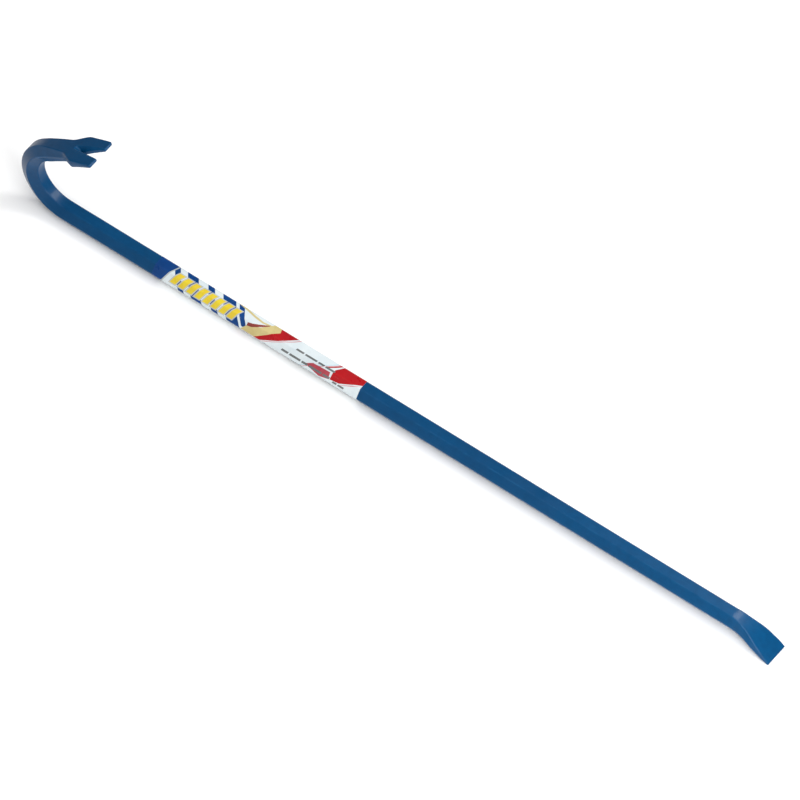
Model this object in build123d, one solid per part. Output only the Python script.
from build123d import *
from build123d.topology import SkipClean
import math
import os

# A gooseneck pry bar: one forging of hexagonal steel, with a printed film label round its shank.
# Millimetres, +Z up, +X from the gooseneck towards the chisel, the bar's plane of symmetry at Y = 0.
# The bar is drawn with its shank along X and the gooseneck starting at the origin. It is then tipped
# by a fraction of a degree, to stand on its chisel edge and its heel, and moved over the origin.

# Shank: a hexagonal bar with two of its flats facing up and down
hex_flats = 20.0
corner_radius = 1.6
shank_length = 793.6

# Gooseneck: two arcs of the centre line, which curl up and back over the shank
lower_bend_radius = 45.3
lower_bend_angle = 64.7
upper_bend_radius = 39.1
upper_bend_angle = 75.6

# Nail claw: the bar flattens from the end of the gooseneck to the tips, and curls a little further
claw_length = 74.8
claw_curl = 11.7
claw_width = 38.4
claw_tip_thickness = 3.2
claw_shoulder = (32.0, 50.0)

# Nail slot: a V between the two tines. Its bevel starts a little outside the tines' middle, and widens
# towards the side away from the shank, less at the sides of the V than at its root.
slot_depth = 27.0
slot_mouth = 13.7
slot_root_radius = 1.2
slot_bevel = 3.2
bevel_start = 0.6
bevel_side_share = 1 / 3
cutter_overrun = 12.0

# Chisel: the bar bends down over a short crank and flattens to a wide edge
chisel_length = 55.3
crank_length = 30.4
crank_angle = 24.8
chisel_width = 28.7
chisel_edge_thickness = 2.0
chisel_shoulder = (9.0, 34.0)

# Label: a film wrapped once round the shank, with a lap along its lower rear flat
label_start = 109.0
label_length = 245.0
label_thickness = 0.15
label_lap = 7.0

# The shape of the flattened ends
hex_corners = hex_flats / math.cos(math.radians(30))
easing = 0.12
edge_squareness = 0.95
smallest_radius_share = 0.22
chisel_squaring = 1.2
span_sections = 5


def ramp(share):
    """A straight ramp from 0 to 1 with a soft start, so that a taper leaves the hexagon smoothly."""
    rise = share * share / (2 * easing) if share < easing else share - easing / 2
    return rise / (1 - easing / 2)


def step(distance, shoulder):
    """0 before the shoulder, 1 after it, and an S-curve in between."""
    share = (distance - shoulder[0]) / (shoulder[1] - shoulder[0])
    share = min(1.0, max(0.0, share))
    return share * share * (3 - 2 * share)


def section(width, thickness, squareness):
    """A rounded six-sided section: a regular hexagon at squareness 0, nearly a rectangle at 1."""
    side = width / 2
    flat = side * (1 + squareness) / 2
    half = thickness / 2
    corners = [(side, 0), (flat, half), (-flat, half), (-side, 0), (-flat, -half), (flat, -half)]
    outline = make_face(Polyline(corners, close=True))
    radius = min(corner_radius, smallest_radius_share * thickness)
    return fillet(outline.vertices(), radius)


def hexagon():
    return section(hex_corners, hex_flats, 0)


def hook_plane(x, z, turned):
    """The plane across the hook where its centre line has turned this far from -X towards +Z."""
    heading = math.radians(turned)
    return Plane(origin=(x, 0, z), x_dir=(0, 1, 0), z_dir=(-math.cos(heading), 0, math.sin(heading)))


def along_arc(x, z, turned, radius, angle):
    """Follow the hook's centre line round an arc, and return where it ends and how far it has turned."""
    before = math.radians(turned)
    after = math.radians(turned + angle)
    end_x = x - radius * (math.sin(after) - math.sin(before))
    end_z = z - radius * (math.cos(after) - math.cos(before))
    return end_x, end_z, turned + angle


def bend(x, z, turned, radius, angle):
    """One arc of the gooseneck."""
    heading = math.radians(turned)
    centre = (x + radius * math.sin(heading), 0, z + radius * math.cos(heading))
    return revolve(hook_plane(x, z, turned) * hexagon(), Axis(centre, (0, 1, 0)), angle)


def claw_station(distance):
    """Where the claw's centre line is, this far past the end of the gooseneck."""
    radius = claw_length / math.radians(claw_curl)
    return along_arc(*neck_end, radius, claw_curl * distance / claw_length)


def claw_section(distance):
    share = distance / claw_length
    width = hex_corners + (claw_width - hex_corners) * step(distance, claw_shoulder)
    thickness = hex_flats + (claw_tip_thickness - hex_flats) * ramp(share)
    squareness = edge_squareness * min(1.0, distance / claw_shoulder[1])
    return hook_plane(*claw_station(distance)) * section(width, thickness, squareness)


def slot_cutter():
    """The V of the nail slot, and the wider V of its bevel, in the plane of the tines."""
    middle = claw_length - slot_depth / 2
    x, z, turned = claw_station(middle)
    heading = math.radians(turned)
    along = (-math.cos(heading), 0, math.sin(heading))
    outward = (-math.sin(heading), 0, -math.cos(heading))
    tines = Plane(origin=(x, 0, z), x_dir=along, z_dir=outward)
    slope = slot_mouth / 2 / slot_depth

    def outline(spread):
        root = -slot_depth / 2 - spread
        mouth = slot_depth / 2 + cutter_overrun
        half = (mouth - root) * slope + spread * bevel_side_share
        lip = slot_root_radius / 2 + spread * bevel_side_share
        return make_face(Polyline([(root, -lip), (mouth, -half), (mouth, half), (root, lip)], close=True))

    through = extrude(tines * outline(0), amount=cutter_overrun, both=True)
    low = tines.offset(bevel_start) * outline(0)
    high = tines.offset(bevel_start + cutter_overrun / 2) * outline(slot_bevel * 2)
    return through + loft([low, high])


def loft_spans(section_at, ends):
    """Loft each span between these distances by itself, so that a shoulder doesn't ripple into the next."""
    spans = []
    for start, end in zip(ends[:-1], ends[1:]):
        distances = [start + (end - start) * i / (span_sections - 1) for i in range(span_sections)]
        spans.append(loft([section_at(distance) for distance in distances]))
    return spans[0].fuse(*spans[1:])


def claw():
    return loft_spans(claw_section, [0, *claw_shoulder, claw_length])


def chisel_plane(distance):
    """The plane across the chisel, this far past the shank, on a centre line that bends down."""
    radius = crank_length / math.radians(crank_angle)
    on_arc = min(distance, crank_length)
    straight = distance - on_arc
    heading = on_arc / radius
    x = shank_length + radius * math.sin(heading) + straight * math.cos(heading)
    z = -radius * (1 - math.cos(heading)) - straight * math.sin(heading)
    return Plane(origin=(x, 0, z), x_dir=(0, 1, 0), z_dir=(math.cos(heading), 0, -math.sin(heading)))


def chisel_section(distance):
    share = distance / chisel_length
    width = hex_corners + (chisel_width - hex_corners) * step(distance, chisel_shoulder)
    thickness = hex_flats + (chisel_edge_thickness - hex_flats) * ramp(share)
    squareness = edge_squareness * min(1.0, share * chisel_squaring)
    return chisel_plane(distance) * section(width, thickness, squareness)


def chisel():
    return loft_spans(chisel_section, [0, *chisel_shoulder, chisel_length])


def shank_piece(start, end):
    return extrude(Plane(origin=(start, 0, 0), x_dir=(0, 1, 0), z_dir=(1, 0, 0)) * hexagon(), end - start)


def forged_bar():
    """The whole forging, with a seam at the label's end so that each flat's bare stretch is its own face."""
    label_end = label_start + label_length
    lower = bend(0, 0, 0, lower_bend_radius, lower_bend_angle)
    upper = bend(*lower_end, upper_bend_radius, upper_bend_angle)
    hook = lower + upper + (claw() - slot_cutter())
    hook += shank_piece(0, label_end)
    tail = shank_piece(label_end, shank_length) + chisel()
    with SkipClean():
        return hook.fuse(tail).solid()


def label_outline(thickness):
    """The hexagon at this height above the flats, with its corners rounded about the same centres."""
    outline = Plane.YZ * RegularPolygon(hex_flats / 2 + thickness, 6, major_radius=False)
    return fillet(outline.vertices(), corner_radius + thickness)


def wrap_label():
    """The film, and its lap: a second thickness on the flat that faces down and back."""
    film = extrude(label_outline(label_thickness) - label_outline(0), label_length)
    lap_height = hex_flats / 2 + label_thickness * 1.5
    lap = Pos(label_length / 2, 0, -lap_height) * Box(label_length, label_lap, label_thickness)
    lap = lap.rotate(Axis.X, 60)
    return Pos(label_start, 0, 0) * (film + lap)


def resting_tilt(bar):
    """The angle, in degrees, that brings the chisel's lowest edge level with the heel of the gooseneck."""
    edge = bar.vertices().sort_by(Axis.Z)[0]
    rise = lower_bend_radius - edge.Z
    reach = math.hypot(rise, edge.X)
    heel_radius = lower_bend_radius + hex_flats / 2
    return math.degrees(math.acos(heel_radius / reach) - math.atan2(edge.X, rise))


def stand(shape, tilt, shift=(0, 0, 0)):
    return Pos(*shift) * shape.rotate(Axis.Y, -tilt)


lower_end = along_arc(0, 0, 0, lower_bend_radius, lower_bend_angle)
neck_end = along_arc(*lower_end, upper_bend_radius, upper_bend_angle)

bar = forged_bar()
tilt = resting_tilt(bar)
box = stand(bar, tilt).bounding_box()
shift = (-box.center().X, 0, -box.min.Z)
print("tilt", round(tilt, 4), "shift", [round(value, 3) for value in shift])

os.makedirs("parts", exist_ok=True)
export_step(stand(bar, tilt, shift), "parts/forged_bar.step")
export_step(stand(wrap_label(), tilt, shift), "parts/wrap_label.step")
